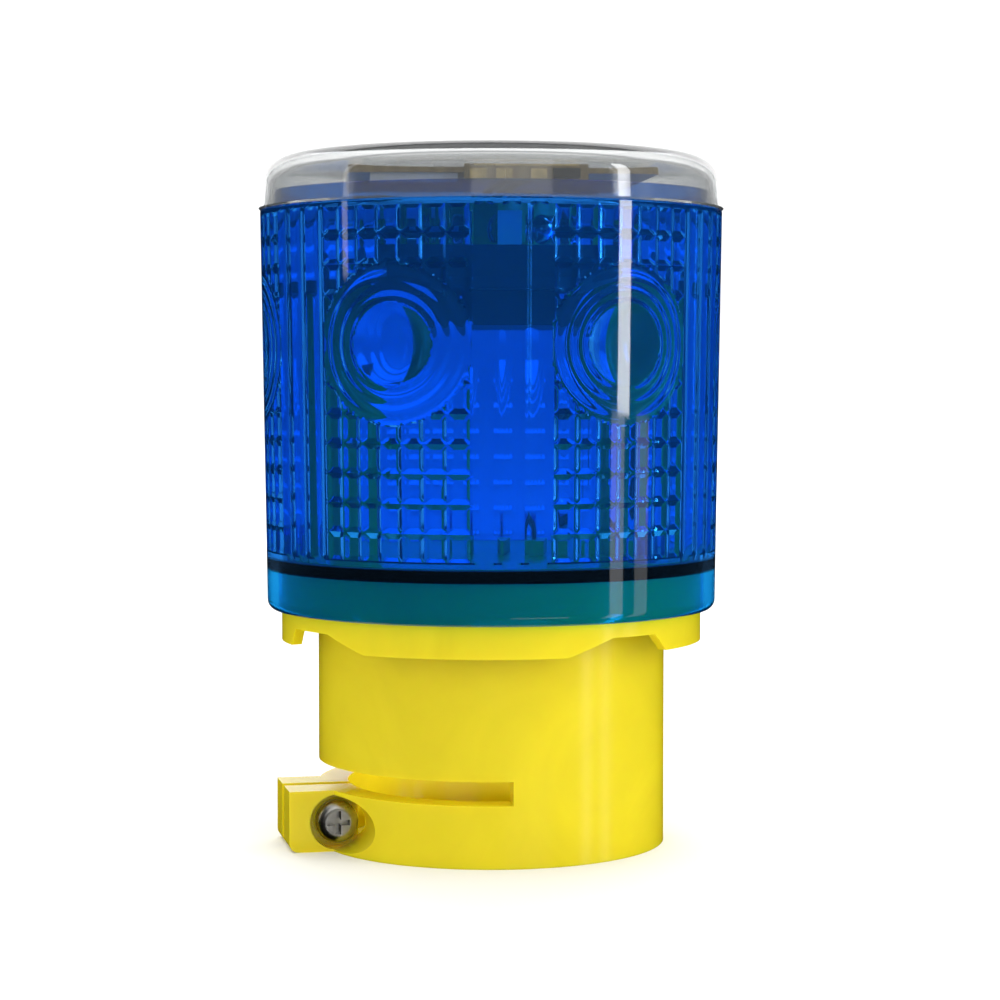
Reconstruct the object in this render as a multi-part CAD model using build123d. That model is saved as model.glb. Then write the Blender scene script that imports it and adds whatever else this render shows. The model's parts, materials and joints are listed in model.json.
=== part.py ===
from build123d import *
import math
import os

# A solar barricade warning light that clamps onto the top of a post.
# Millimetres, +Z up. The origin is the centre of the socket's open bottom face.
# Angles are measured about +Z from the -Y side towards +X; the clamp ears point along -X.

# Clamp socket
BORE_R = 25.0
BORE_DEPTH = 42.0
STOP_R = 22.5
ROOF_Z = 46.9
COLLAR_R = 30.0
SLOT_Z0 = 10.4
SLOT_Z1 = 14.4
SLOT_HALF_ANGLE = 85.0
EAR_ANGLE = -90.0
EAR_END_X = -36.5
EAR_HALF_WIDTH = 8.05
EAR_GAP = 2.4
EAR_CORNER_R = 1.6

# Flange and rim that carry the lens
FLANGE_R = 36.3
FLANGE_TOP_Z = 40.4
LOBE_Z = 35.1
PLATE_Z = 49.5
SEAL_Z0 = 47.3
SEAL_Z1 = 49.4
SEAL_R = 36.7
SEAL_INNER_R = 34.9
SEAL_EDGE_R = 0.3

# The flange is a hanging skirt with an open channel behind it
CHANNEL_R = 34.4
CHANNEL_ROOF_Z = 43.4

# Gaps in the skirt: the angles where each gap starts, meets its roof, leaves its roof and ends
NOTCH_ROOF_Z = 38.0
NOTCH_OVERCUT = 0.5
NOTCHES = [
    (-80.0, -77.0, -60.0, -47.0),
    (8.0, 21.0, 36.0, 41.0),
]

# Lens
LENS_TOP_R = 40.0
LENS_TOP_Z = 108.7
LENS_LOW_R = 38.75
LENS_EDGE_R = 1.6
SKIRT_INNER_R = 36.85
LENS_INNER_LOW_R = 36.2
LENS_INNER_TOP_R = 37.3
SPIGOT_R = 37.4
SPIGOT_INNER_R = 36.2
SPIGOT_Z = 111.5
LENS_WALL_END_Z = 106.1
LENS_BOSS_R = 2.5
LENS_BOSS_Z = 55.0
LENS_WEB_WIDTH = 3.0
LENS_WEB_DEPTH = 4.2
LENS_SCREW_RADIUS = 32.2
LENS_SCREW_ANGLES = [-90.0, 37.0, 143.0]
LENS_SCREW_HEAD_R = 2.05
LENS_SCREW_HEAD_H = 1.5
LENS_SCREW_SHANK_R = 0.95
LENS_SCREW_LENGTH = 10.0
LENS_SCREW_HOLE_R = 1.35
LENS_PILOT_R = 1.0

# Clear top cap
CAP_Z = 118.0
CAP_WALL = 2.0
CAP_SIDE_Z = 113.2
CAP_FLAT_R = 34.6
CAP_LEAN = 0.45
CAP_EDGE = 4.5
CAP_CROWN = 0.2

# Inner frame: the lens pattern and everything inside are turned together
INNER_TURN = -7.0
POST_RADIUS = 23.5
POST_R = 4.5
DECK_Z = 94.4
DECK_T = 2.0
DECK_R = 31.5
TUB_Z = 88.7
TUB_WIDTH = 24.6
BOX_WIDTH = 38.0
BOX_LENGTH = 50.0
BOX_TOP_Z = 100.6
TRAY_WALL = 1.4
TUB_FLOOR = 1.2
COVER_T = 1.2
COVER_CORNER_R = 2.0
COVER_RIB_T = 1.0
COVER_RIB_H = 0.3
TRAY_HOLE_R = 1.35
WIRE_HOLE_R = 2.6
COVER_HOLE_R = 2.0
TRAY_PILOT_R = 1.15
TRAY_SCREW_HEAD_R = 2.3
TRAY_SCREW_HEAD_H = 1.7
TRAY_SCREW_SHANK_R = 1.05
TRAY_SCREW_LENGTH = 9.0

# Cells
CELL_R = 5.2
CELL_LENGTH = 44.0
CELL_PITCH = 10.6
CELL_Z = TUB_Z + TUB_FLOOR + CELL_R + 0.05
CELL_OFFSET = 0.4
NUB_R = 1.9
NUB_LENGTH = 0.9
CONTACT_T = 0.4
CONTACT_Z0 = TUB_Z + 2.2
CONTACT_Z1 = TUB_Z + 10.2
BRIDGE_WIDTH = 17.0
PLATE_WIDTH = 8.4
SPRING_RINGS = 3
SPRING_TAPER = 0.3
SPRING_R = 2.6
SPRING_WIRE_R = 0.3

# LED holder, a six-sided tube
HOLDER_Z0 = BOX_TOP_Z + COVER_T
HOLDER_Z1 = 110.2
HOLDER_FLAT = 10.0
HOLDER_WALL = 1.6
HOLDER_FOOT = 1.8
HOLDER_FOOT_T = 1.0
LED_COUNT = 6
LED_Z = 105.0
LED_R = 2.5
LED_FLANGE_R = 2.9
LED_FLANGE_T = 1.0
LED_BODY = 5.2
LED_HOLE_LENGTH = 6.0
LEAD_R = 0.25
LEAD_SPREAD = 1.27
LEAD_REACH = 1.4

# Control board in the top of the LED holder
BOARD_R = 7.0
BOARD_Z = 107.9
BOARD_T = 1.2
BOARD_TOP_Z = BOARD_Z + BOARD_T
CHIP_X = -3.4
CHIP_Y = 1.6
CHIP_WIDTH = 3.9
CHIP_LENGTH = 4.9
CHIP_H = 1.3
PIN_COUNT = 4
PIN_PITCH = 1.2
PIN_LENGTH = 0.9
PIN_WIDTH = 0.4
PIN_H = 0.35
PIN_X = 2.2
COIL_X = 3.4
COIL_Y = 3.9
COIL_CORE_R = 1.1
COIL_FLANGE_R = 1.7
COIL_FLANGE_T = 0.4
COIL_H = 1.6
RESISTOR_X = [-2.2, 1.0, 4.0]
RESISTOR_Y = -4.4
RESISTOR_WIDTH = 2.0
RESISTOR_DEPTH = 1.2
RESISTOR_H = 0.5

# Plug-in wire connector in front of the LED holder
CONNECTOR_X = 2.9
CONNECTOR_Y = -16.2
CONNECTOR_WIDTH = 4.2
CONNECTOR_DEPTH = 3.4
CONNECTOR_H = 6.0
CONNECTOR_WALL = 0.6
CONNECTOR_WELL = 2.4

# Solar panel under the cap
PANEL_SIZE = 50.0
PANEL_Z = 113.4
PANEL_T = 1.5
STRIP_COUNT = 8
STRIP_PITCH = 5.7
STRIP_LENGTH = 45.0
STRIP_GAP = 0.5
STRIP_T = 0.3
PANEL_CORNER_R = 1.5
ADHESIVE_R = 4.0
ADHESIVE_OFFSET = 15.0
ADHESIVE_GAP = 0.15
FOAM_WIDTH = 14.0
FOAM_DEPTH = 4.0
FOAM_T = 1.6
FOAM_X = 14.5
FOAM_FRONT_Y = -22.4
FOAM_BACK_Y = 21.5

# Charge board that stands on edge against the front of the solar panel
CHARGE_X = 3.4
CHARGE_WIDTH = 20.0
CHARGE_T = 1.2
CHARGE_Z = 112.1
CHARGE_TOP_Z = 115.6
CHARGE_MARGIN = 0.3
CHARGE_FRONT_Y = -PANEL_SIZE / 2 - CHARGE_T
TERMINAL_X = [-4.4, -0.2, 5.4]
TERMINAL_WIDTH = 2.6
TERMINAL_H = 1.8
TERMINAL_T = 0.3
BUS_BAR_WIDTH = 17.0
BUS_BAR_H = 0.5
DIODE_X = 9.8
DIODE_WIDTH = 4.2
DIODE_DEPTH = 1.8
DIODE_H = 2.0

# Push switch in the socket roof
SWITCH_X = 10.5
SWITCH_SIZE = 8.4
SWITCH_TOP_Z = 51.0
BUTTON_R = 2.5
BUTTON_TIP_Z = 42.6
BUTTON_TOP_Z = 48.2
BUTTON_BORE_TOP_Z = 50.3
SWITCH_WALL = 0.8
SWITCH_LEAD_Y = 1.5
RETAINER_T = 1.0
RETAINER_WIDTH = 9.4
RETAINER_LENGTH = 14.4
RETAINER_CORNER_R = 2.0
RETAINER_SCREW_Y = 5.7
RETAINER_PILOT_R = 0.85
RETAINER_HOLE_R = 0.95
RETAINER_HEAD_R = 1.5
RETAINER_HEAD_H = 1.0
RETAINER_SHANK_R = 0.8
RETAINER_SHANK_LENGTH = 3.0
BUTTON_ROUND_R = 0.8

# Clamp screw: M4 x 16 pan head with washer and captive nut
SCREW_X = -28.3
SCREW_Z = 5.0
SEAT_Y = -5.5
WASHER_T = 0.8
WASHER_R = 3.5
HEAD_R = 3.6
HEAD_H = 2.6
THREAD_R = 1.95
THREAD_PITCH = 0.7
THREAD_DEPTH = 0.38
SCREW_LENGTH = 16.0
EAR_HOLE_R = 2.3
COUNTERBORE_R = 4.7
NUT_FLOOR_Y = 4.5
NUT_T = 3.2
NUT_FLAT = 3.5
NUT_TURN = 30.0
NUT_BORE_R = 2.0
NUT_CHAMFER = 0.9
NUT_CONE_SHARE = 1.45
SHANK_LENGTH = 2.3
TIP_LENGTH = 0.9
TIP_CHAMFER = 0.5

WIRE_R = 0.65
WIRE_HOLE_RADIUS = 15.1
COVER_HOLE_X = 14.4
COVER_HOLE_Y = 9.0
WIRE_BEND = 2.6
WIRE_NARROW_BEND = 1.8
WIRE_TIGHT_BEND = 1.4
PANEL_WIRE_X = 2.4
PANEL_WIRE_SPREAD = 1.6
PANEL_WIRE_DROP = 0.9
PANEL_WIRE_END_X = 1.1
PANEL_WIRE_END_Y = -2.4
PANEL_WIRE_END_Z = 111.6
SWITCH_WIRE_RISE = 3.0
SWITCH_WIRE_TURN = 5.5
SWITCH_WIRE_END = 3.4
BATTERY_WIRE_SPREAD = 0.9
BATTERY_WIRE_DEPTH = 3.0
BATTERY_WIRE_RISE_Z = 107.0
BATTERY_WIRE_OVER_X = 11.0
BATTERY_WIRE_OVER_Y = 3.2
BATTERY_WIRE_OVER_Z = 111.35
BATTERY_WIRE_END_X = 1.2
BATTERY_WIRE_END_Y = 9.0
CLEAR = 0.1
SEAT_GAP = 0.02

# Pan heads: shares of the head's height and radius
HEAD_ROUND_SHARE = 0.55
RECESS_FLOOR_SHARE = 0.45
RECESS_LENGTH_SHARE = 1.1
RECESS_WIDTH_SHARE = 0.26


def ring(outer, inner, z0, z1):
    """A tube about the Z axis between two heights."""
    tube = Cylinder(outer, z1 - z0, align=(Align.CENTER, Align.CENTER, Align.MIN))
    tube -= Cylinder(inner, z1 - z0, align=(Align.CENTER, Align.CENTER, Align.MIN))
    return Pos(0, 0, z0) * tube


def rod(radius, z0, z1, x=0.0, y=0.0):
    """A solid upright cylinder between two heights."""
    solid = Cylinder(radius, z1 - z0, align=(Align.CENTER, Align.CENTER, Align.MIN))
    return Pos(x, y, z0) * solid


def block(width, depth, z0, z1, x=0.0, y=0.0):
    """A box between two heights, centred on x and y."""
    solid = Box(width, depth, z1 - z0, align=(Align.CENTER, Align.CENTER, Align.MIN))
    return Pos(x, y, z0) * solid


def turned(points):
    """A solid of revolution about the Z axis from (radius, height) points."""
    outline = Polyline(*[(r, 0, z) for r, z in points], close=True)
    return revolve(make_face(outline), Axis.Z)


def around(angle, radius):
    """The x and y of a point at an angle from the -Y side towards +X."""
    a = math.radians(angle)
    return radius * math.sin(a), -radius * math.cos(a)


def sector(inner, outer, angle0, angle1, z0, z1):
    """A piece of a tube between two angles less than half a turn apart."""
    reach = 6 * outer
    corners = [around(angle, reach) for angle in (angle0, (angle0 + angle1) / 2, angle1)]
    wedge = extrude(make_face(Polyline((0, 0), *corners, close=True)), z1 - z0 + 2)
    return ring(outer, inner, z0, z1) & (Pos(0, 0, z0 - 1) * wedge)


def inner(shape):
    """Turns a shape that was drawn in the inner frame into its place."""
    return Rot(0, 0, INNER_TURN) * shape


def group(shapes):
    """Separate solids kept together as one node."""
    return Compound([solid for shape in shapes for solid in shape.solids()])


def pan_screw(head_r, head_h, shank_r, length):
    """A pan-head screw pointing down, its head seated on z = 0, with a cross recess."""
    head = rod(head_r, 0, head_h)
    head = fillet(head.edges().sort_by(Axis.Z)[-1], head_h * HEAD_ROUND_SHARE)
    screw = head + rod(shank_r, -length, 0)
    arm = head_r * RECESS_LENGTH_SHARE
    slot = head_r * RECESS_WIDTH_SHARE
    for width, depth in ((arm, slot), (slot, arm)):
        screw -= block(width, depth, head_h * RECESS_FLOOR_SHARE, head_h + 1)
    return screw


def wire(points, radii, radius=WIRE_R):
    """A round wire along straight runs joined by tangent arcs."""
    path = FilletPolyline(*points, radius=radii)
    plane = Plane(origin=path @ 0, z_dir=path % 0)
    return sweep(plane * Circle(radius), path=path)


def clamp_ears():
    """The ear block beside the split of the clamp band, cut out round the bore."""
    ears = block(-EAR_END_X - BORE_R + 2, 2 * EAR_HALF_WIDTH, 0, SLOT_Z0, x=(EAR_END_X - BORE_R + 2) / 2)
    low_corner = ears.edges().filter_by(Axis.Y).group_by(Axis.X)[0].sort_by(Axis.Z)[0]
    ears = fillet(low_corner, EAR_CORNER_R)
    return ears - rod(BORE_R, -1, SLOT_Z0 + 1)


def screw_passage():
    """Everything that is cut away for the clamp screw, its head and its nut."""
    cut = Cylinder(EAR_HOLE_R, 4 * EAR_HALF_WIDTH)
    cut += Pos(0, 0, -SEAT_Y) * Cylinder(COUNTERBORE_R, 20, align=(Align.CENTER, Align.CENTER, Align.MIN))
    pocket = extrude(RegularPolygon(NUT_FLAT + CLEAR, 6, major_radius=False, rotation=NUT_TURN), -10)
    cut += Pos(0, 0, -NUT_FLOOR_Y) * pocket
    return Pos(SCREW_X, 0, SCREW_Z) * Rot(90, 0, 0) * cut


def notch(start, roof_start, roof_end, end):
    """A slope-ended prism that cuts one gap in the flange's skirt."""
    centre = (roof_start + roof_end) / 2
    drop = NOTCH_ROOF_Z - LOBE_Z + NOTCH_OVERCUT
    lean = drop / (NOTCH_ROOF_Z - LOBE_Z)
    angles = (start, roof_start, roof_end, end)
    across = [FLANGE_R * math.sin(math.radians(angle - centre)) for angle in angles]
    low_start = across[1] + (across[0] - across[1]) * lean
    low_end = across[2] + (across[3] - across[2]) * lean
    side = [(low_start, NOTCH_ROOF_Z - drop), (across[1], NOTCH_ROOF_Z),
            (across[2], NOTCH_ROOF_Z), (low_end, NOTCH_ROOF_Z - drop)]
    front = -COLLAR_R - NOTCH_OVERCUT
    outline = make_face(Polyline(*[(x, front, z) for x, z in side], close=True))
    return Rot(0, 0, centre) * extrude(outline, COLLAR_R / 4, dir=(0, -1, 0))


def base_socket():
    body = turned([
        (BORE_R, 0), (COLLAR_R, 0), (COLLAR_R, CHANNEL_ROOF_Z), (CHANNEL_R, CHANNEL_ROOF_Z),
        (CHANNEL_R, LOBE_Z), (FLANGE_R, LOBE_Z), (FLANGE_R, SEAL_Z0),
        (SEAL_INNER_R, SEAL_Z0), (SEAL_INNER_R, PLATE_Z), (0, PLATE_Z), (0, ROOF_Z),
        (STOP_R, ROOF_Z), (STOP_R, BORE_DEPTH), (BORE_R, BORE_DEPTH),
    ])
    body += clamp_ears()
    body -= sector(STOP_R, COLLAR_R + 8, EAR_ANGLE - SLOT_HALF_ANGLE, EAR_ANGLE + SLOT_HALF_ANGLE,
                   SLOT_Z0, SLOT_Z1)
    body -= block(BORE_R, EAR_GAP, -1, SLOT_Z0 + 1, x=-BORE_R - 5)
    body -= screw_passage()

    for angles in NOTCHES:
        body -= notch(*angles)
        body -= notch(*[180 - angle for angle in reversed(angles)])
    for angle in LENS_SCREW_ANGLES:
        x, y = around(angle, LENS_SCREW_RADIUS)
        body -= rod(LENS_SCREW_HOLE_R, CHANNEL_ROOF_Z - 1, PLATE_Z + 1, x, y)

    housing_size = SWITCH_SIZE + 2 * SWITCH_WALL
    body += block(housing_size, housing_size, PLATE_Z - 1, SWITCH_TOP_Z + 1, x=SWITCH_X)
    body -= block(SWITCH_SIZE + CLEAR, SWITCH_SIZE + CLEAR, ROOF_Z - 1, SWITCH_TOP_Z + CLEAR, x=SWITCH_X)
    for side in (-1, 1):
        body -= rod(RETAINER_PILOT_R, ROOF_Z - 1, PLATE_Z - 0.4, SWITCH_X, side * RETAINER_SCREW_Y)
        body -= rod(WIRE_R + CLEAR, SWITCH_TOP_Z - 1, SWITCH_TOP_Z + 2, SWITCH_X, side * SWITCH_LEAD_Y)
        x, y = around(side * 90 + INNER_TURN, POST_RADIUS)
        body += rod(POST_R, PLATE_Z - 1, DECK_Z, x, y)
        body -= rod(TRAY_PILOT_R, DECK_Z - TRAY_SCREW_LENGTH - 3, DECK_Z + 1, x, y)
    return body


def lens():
    low = LENS_LOW_R
    edge = FLANGE_TOP_Z + LENS_EDGE_R
    shell = turned([
        (SKIRT_INNER_R, FLANGE_TOP_Z),
        (low - LENS_EDGE_R, FLANGE_TOP_Z),
        (low - LENS_EDGE_R * 0.3, FLANGE_TOP_Z + LENS_EDGE_R * 0.3),
        (low, edge),
        (LENS_TOP_R, LENS_TOP_Z),
        (SPIGOT_R, LENS_TOP_Z),
        (SPIGOT_R, SPIGOT_Z),
        (SPIGOT_INNER_R, SPIGOT_Z),
        (SPIGOT_INNER_R, LENS_WALL_END_Z + 1.0),
        (LENS_INNER_TOP_R, LENS_WALL_END_Z),
        (LENS_INNER_LOW_R, SEAL_Z1),
        (SKIRT_INNER_R, SEAL_Z1),
    ])
    for angle in LENS_SCREW_ANGLES:
        x, y = around(angle, LENS_SCREW_RADIUS)
        boss = rod(LENS_BOSS_R, PLATE_Z + CLEAR, LENS_BOSS_Z, x, y)
        web = block(LENS_WEB_WIDTH, LENS_WEB_DEPTH, PLATE_Z + CLEAR, LENS_BOSS_Z)
        web = Rot(0, 0, angle) * (Pos(0, -LENS_SCREW_RADIUS - LENS_BOSS_R + 0.2, 0) * web)
        shell += boss + web
        shell -= rod(LENS_PILOT_R, PLATE_Z, LENS_BOSS_Z - 1, x, y)
    return shell


def top_cap():
    side_in = LENS_TOP_R - CAP_WALL
    outer = [
        (LENS_TOP_R, LENS_TOP_Z),
        (LENS_TOP_R - CAP_LEAN, CAP_SIDE_Z),
        (LENS_TOP_R - CAP_LEAN - 0.14 * CAP_EDGE, CAP_SIDE_Z + 0.42 * CAP_EDGE),
        (LENS_TOP_R - CAP_LEAN - 0.46 * CAP_EDGE, CAP_SIDE_Z + 0.78 * CAP_EDGE),
        (CAP_FLAT_R, CAP_Z - CAP_CROWN),
        (0, CAP_Z),
    ]
    inner_wall = [
        (0, CAP_Z - CAP_WALL),
        (CAP_FLAT_R - 0.6, CAP_Z - CAP_WALL - CAP_CROWN),
        (side_in - 1.6, CAP_SIDE_Z + 1.0),
        (side_in - CAP_LEAN, CAP_SIDE_Z - 1.0),
        (side_in, LENS_TOP_Z),
    ]
    return turned(outer + inner_wall)


def seal_ring():
    seal = ring(SEAL_R, SEAL_INNER_R, SEAL_Z0, SEAL_Z1)
    return fillet(seal.edges().sort_by(Axis.Z)[-1:], SEAL_EDGE_R)


def lens_screws():
    screw = pan_screw(LENS_SCREW_HEAD_R, LENS_SCREW_HEAD_H, LENS_SCREW_SHANK_R, LENS_SCREW_LENGTH)
    screws = []
    for angle in LENS_SCREW_ANGLES:
        x, y = around(angle, LENS_SCREW_RADIUS)
        screws.append(Pos(x, y, CHANNEL_ROOF_Z) * Rot(180, 0, 0) * screw)
    return group(screws)


def battery_tray():
    tray = rod(DECK_R, DECK_Z, DECK_Z + DECK_T)
    tray += block(TUB_WIDTH, BOX_LENGTH, TUB_Z, DECK_Z)
    tray += block(BOX_WIDTH, BOX_LENGTH, DECK_Z, BOX_TOP_Z)
    tray -= block(BOX_WIDTH - 2 * TRAY_WALL, BOX_LENGTH - 2 * TRAY_WALL, DECK_Z + DECK_T, BOX_TOP_Z + 1)
    tray -= block(TUB_WIDTH - 2 * TRAY_WALL, BOX_LENGTH - 2 * TRAY_WALL, TUB_Z + TUB_FLOOR, BOX_TOP_Z + 1)
    for side in (-1, 1):
        tray -= rod(TRAY_HOLE_R, DECK_Z - 1, BOX_TOP_Z, side * POST_RADIUS, 0)
        tray -= rod(WIRE_HOLE_R, DECK_Z - 1, BOX_TOP_Z, side * WIRE_HOLE_RADIUS, 0)
    return inner(tray)


def tray_screws():
    screw = pan_screw(TRAY_SCREW_HEAD_R, TRAY_SCREW_HEAD_H, TRAY_SCREW_SHANK_R, TRAY_SCREW_LENGTH)
    seated = [Pos(side * POST_RADIUS, 0, DECK_Z + DECK_T) * screw for side in (-1, 1)]
    return inner(group(seated))


def battery_cells():
    profile = turned([
        (0, 0), (CELL_R - 0.3, 0), (CELL_R, 0.3), (CELL_R, CELL_LENGTH - 0.5),
        (CELL_R - 0.5, CELL_LENGTH), (NUB_R, CELL_LENGTH),
        (NUB_R, CELL_LENGTH + NUB_LENGTH), (0, CELL_LENGTH + NUB_LENGTH),
    ])
    start = -CELL_LENGTH / 2 - CELL_OFFSET
    cell = Pos(0, start, CELL_Z) * Rot(-90, 0, 0) * profile
    other = Rot(0, 0, 180) * (Pos(CELL_PITCH / 2, 0, 0) * cell)
    return inner(group([Pos(CELL_PITCH / 2, 0, 0) * cell, other]))


def contact_wall():
    """The distance from the centre to the inner end wall of the tray."""
    return BOX_LENGTH / 2 - TRAY_WALL


def cell_contacts():
    wall = contact_wall()
    plates = [block(BRIDGE_WIDTH, CONTACT_T, CONTACT_Z0, CONTACT_Z1, y=-wall + CONTACT_T / 2 + SEAT_GAP)]
    for side in (-1, 1):
        plate = block(PLATE_WIDTH, CONTACT_T, CONTACT_Z0, CONTACT_Z1,
                      x=side * CELL_PITCH / 2, y=wall - CONTACT_T / 2 - SEAT_GAP)
        plates.append(plate)
    return inner(group(plates))


def cell_springs():
    wall = contact_wall() - CONTACT_T - SEAT_GAP
    end = CELL_LENGTH / 2 + CELL_OFFSET
    rings = []
    for side in (-1, 1):
        for step in range(SPRING_RINGS):
            y = wall - SPRING_WIRE_R - step * (wall - end - 2 * SPRING_WIRE_R) / (SPRING_RINGS - 1)
            coil = Rot(90, 0, 0) * Torus(SPRING_R - SPRING_TAPER * step, SPRING_WIRE_R)
            rings.append(Pos(side * CELL_PITCH / 2, -side * y, CELL_Z) * coil)
    return inner(group(rings))


def battery_cover():
    cover = block(BOX_WIDTH, BOX_LENGTH, BOX_TOP_Z, BOX_TOP_Z + COVER_T)
    cover = fillet(cover.edges().filter_by(Axis.Z), COVER_CORNER_R)
    cover -= rod(COVER_HOLE_R, BOX_TOP_Z - 1, BOX_TOP_Z + COVER_T + 1, COVER_HOLE_X, COVER_HOLE_Y)
    for side in (-1, 1):
        cover += block(BOX_WIDTH - 2 * TRAY_WALL - 4 * CLEAR, COVER_RIB_T, BOX_TOP_Z - COVER_RIB_H, BOX_TOP_Z,
                       y=side * (BOX_LENGTH / 2 - TRAY_WALL - COVER_RIB_T / 2 - 3 * CLEAR))
    return inner(cover)


def led_direction(index):
    """The rotation that takes the -Y side to an LED's side."""
    return Rot(0, 0, 360 / LED_COUNT * (index + 0.5))


def hexagon(flat, z0, z1):
    """A six-sided prism whose flats face the LEDs."""
    prism = extrude(RegularPolygon(flat, LED_COUNT, major_radius=False), z1 - z0)
    return Pos(0, 0, z0) * (Rot(0, 0, 30) * prism)


def led_holder():
    holder = hexagon(HOLDER_FLAT, HOLDER_Z0, HOLDER_Z1)
    holder += hexagon(HOLDER_FLAT + HOLDER_FOOT, HOLDER_Z0, HOLDER_Z0 + HOLDER_FOOT_T)
    holder -= hexagon(HOLDER_FLAT - HOLDER_WALL, HOLDER_Z0 - 1, HOLDER_Z1 + 1)
    for index in range(LED_COUNT):
        hole = Pos(0, -HOLDER_FLAT, LED_Z) * Rot(90, 0, 0) * Cylinder(LED_R + CLEAR, LED_HOLE_LENGTH)
        holder -= led_direction(index) * hole
    return inner(holder)


def leds():
    wall = HOLDER_FLAT - HOLDER_WALL
    length = LED_FLANGE_T + LED_BODY
    profile = turned([(0, 0), (LED_FLANGE_R, 0), (LED_FLANGE_R, LED_FLANGE_T), (LED_R, LED_FLANGE_T),
                      (LED_R, length), (0, length)])
    profile += Pos(0, 0, length) * Sphere(LED_R)
    lamp = Pos(0, LED_FLANGE_T - wall, LED_Z) * Rot(90, 0, 0) * profile
    return inner(group([led_direction(index) * lamp for index in range(LED_COUNT)]))


def led_leads():
    back = LED_FLANGE_T - (HOLDER_FLAT - HOLDER_WALL)
    lead = Pos(0, back + LEAD_REACH / 2, LED_Z) * Rot(90, 0, 0) * Cylinder(LEAD_R, LEAD_REACH)
    lead += Pos(0, back + LEAD_REACH, LED_Z) * Sphere(LEAD_R)
    lead += rod(LEAD_R, LED_Z, BOARD_Z - SEAT_GAP, 0, back + LEAD_REACH)
    leads = []
    for index in range(LED_COUNT):
        for side in (-1, 1):
            leads.append(led_direction(index) * (Pos(side * LEAD_SPREAD, 0, 0) * lead))
    return inner(group(leads))


def circuit_board():
    return inner(rod(BOARD_R, BOARD_Z, BOARD_TOP_Z))


def chip_pins():
    pins = []
    for side in (-1, 1):
        for step in range(PIN_COUNT):
            x = CHIP_X + side * PIN_X
            y = CHIP_Y + (step - (PIN_COUNT - 1) / 2) * PIN_PITCH
            pins.append(block(PIN_LENGTH, PIN_WIDTH, BOARD_TOP_Z, BOARD_TOP_Z + PIN_H, x, y))
    return group(pins)


def control_chip():
    chip = block(CHIP_WIDTH, CHIP_LENGTH, BOARD_TOP_Z + CLEAR, BOARD_TOP_Z + CHIP_H, x=CHIP_X, y=CHIP_Y)
    return inner(chip + chip_pins())


def charging_coil():
    coil = rod(COIL_CORE_R, BOARD_TOP_Z, BOARD_TOP_Z + COIL_H, COIL_X, COIL_Y)
    for low in (BOARD_TOP_Z, BOARD_TOP_Z + COIL_H - COIL_FLANGE_T):
        coil += rod(COIL_FLANGE_R, low, low + COIL_FLANGE_T, COIL_X, COIL_Y)
    return inner(coil)


def board_resistors():
    top = BOARD_TOP_Z + RESISTOR_H
    parts = [block(RESISTOR_WIDTH, RESISTOR_DEPTH, BOARD_TOP_Z, top, x=x, y=RESISTOR_Y) for x in RESISTOR_X]
    return inner(group(parts))


def wire_connector():
    top = HOLDER_Z0 + CONNECTOR_H
    plug = block(CONNECTOR_WIDTH, CONNECTOR_DEPTH, HOLDER_Z0, top, x=CONNECTOR_X, y=CONNECTOR_Y)
    plug -= block(CONNECTOR_WIDTH - 2 * CONNECTOR_WALL, CONNECTOR_DEPTH - 2 * CONNECTOR_WALL,
                  top - CONNECTOR_WELL, top + 1, x=CONNECTOR_X, y=CONNECTOR_Y)
    return inner(plug)


def solar_board():
    board = block(PANEL_SIZE, PANEL_SIZE, PANEL_Z, PANEL_Z + PANEL_T)
    return inner(fillet(board.edges().filter_by(Axis.Z), PANEL_CORNER_R))


def solar_strips():
    top = PANEL_Z + PANEL_T
    strips = []
    for index in range(STRIP_COUNT):
        x = (index - (STRIP_COUNT - 1) / 2) * STRIP_PITCH
        strips.append(block(STRIP_PITCH - STRIP_GAP, STRIP_LENGTH, top, top + STRIP_T, x=x))
    return inner(group(strips))


def panel_adhesive():
    top = PANEL_Z + PANEL_T + STRIP_T
    ends = (-ADHESIVE_OFFSET, ADHESIVE_OFFSET)
    ceiling = CAP_Z - CAP_WALL - ADHESIVE_GAP
    return inner(group([rod(ADHESIVE_R, top, ceiling, x, y) for x in ends for y in ends]))


def foam_strips():
    places = [(-FOAM_X, FOAM_FRONT_Y), (FOAM_X, FOAM_BACK_Y)]
    strips = [block(FOAM_WIDTH, FOAM_DEPTH, PANEL_Z - FOAM_T, PANEL_Z, x=x, y=y) for x, y in places]
    return inner(group(strips))


def charge_board():
    middle = CHARGE_FRONT_Y + CHARGE_T / 2
    return inner(block(CHARGE_WIDTH, CHARGE_T, CHARGE_Z, CHARGE_TOP_Z, x=CHARGE_X, y=middle))


def charge_terminals():
    middle = CHARGE_FRONT_Y - TERMINAL_T / 2
    low = CHARGE_Z + CHARGE_MARGIN
    pads = [block(TERMINAL_WIDTH, TERMINAL_T, low, low + TERMINAL_H, x=x, y=middle) for x in TERMINAL_X]
    bar_low = CHARGE_TOP_Z - BUS_BAR_H
    pads.append(block(BUS_BAR_WIDTH, TERMINAL_T, bar_low, CHARGE_TOP_Z, x=CHARGE_X, y=middle))
    return inner(group(pads))


def charge_diode():
    middle = CHARGE_FRONT_Y - DIODE_DEPTH / 2
    low = CHARGE_Z + CHARGE_MARGIN
    return inner(block(DIODE_WIDTH, DIODE_DEPTH, low, low + DIODE_H, x=DIODE_X, y=middle))


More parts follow.
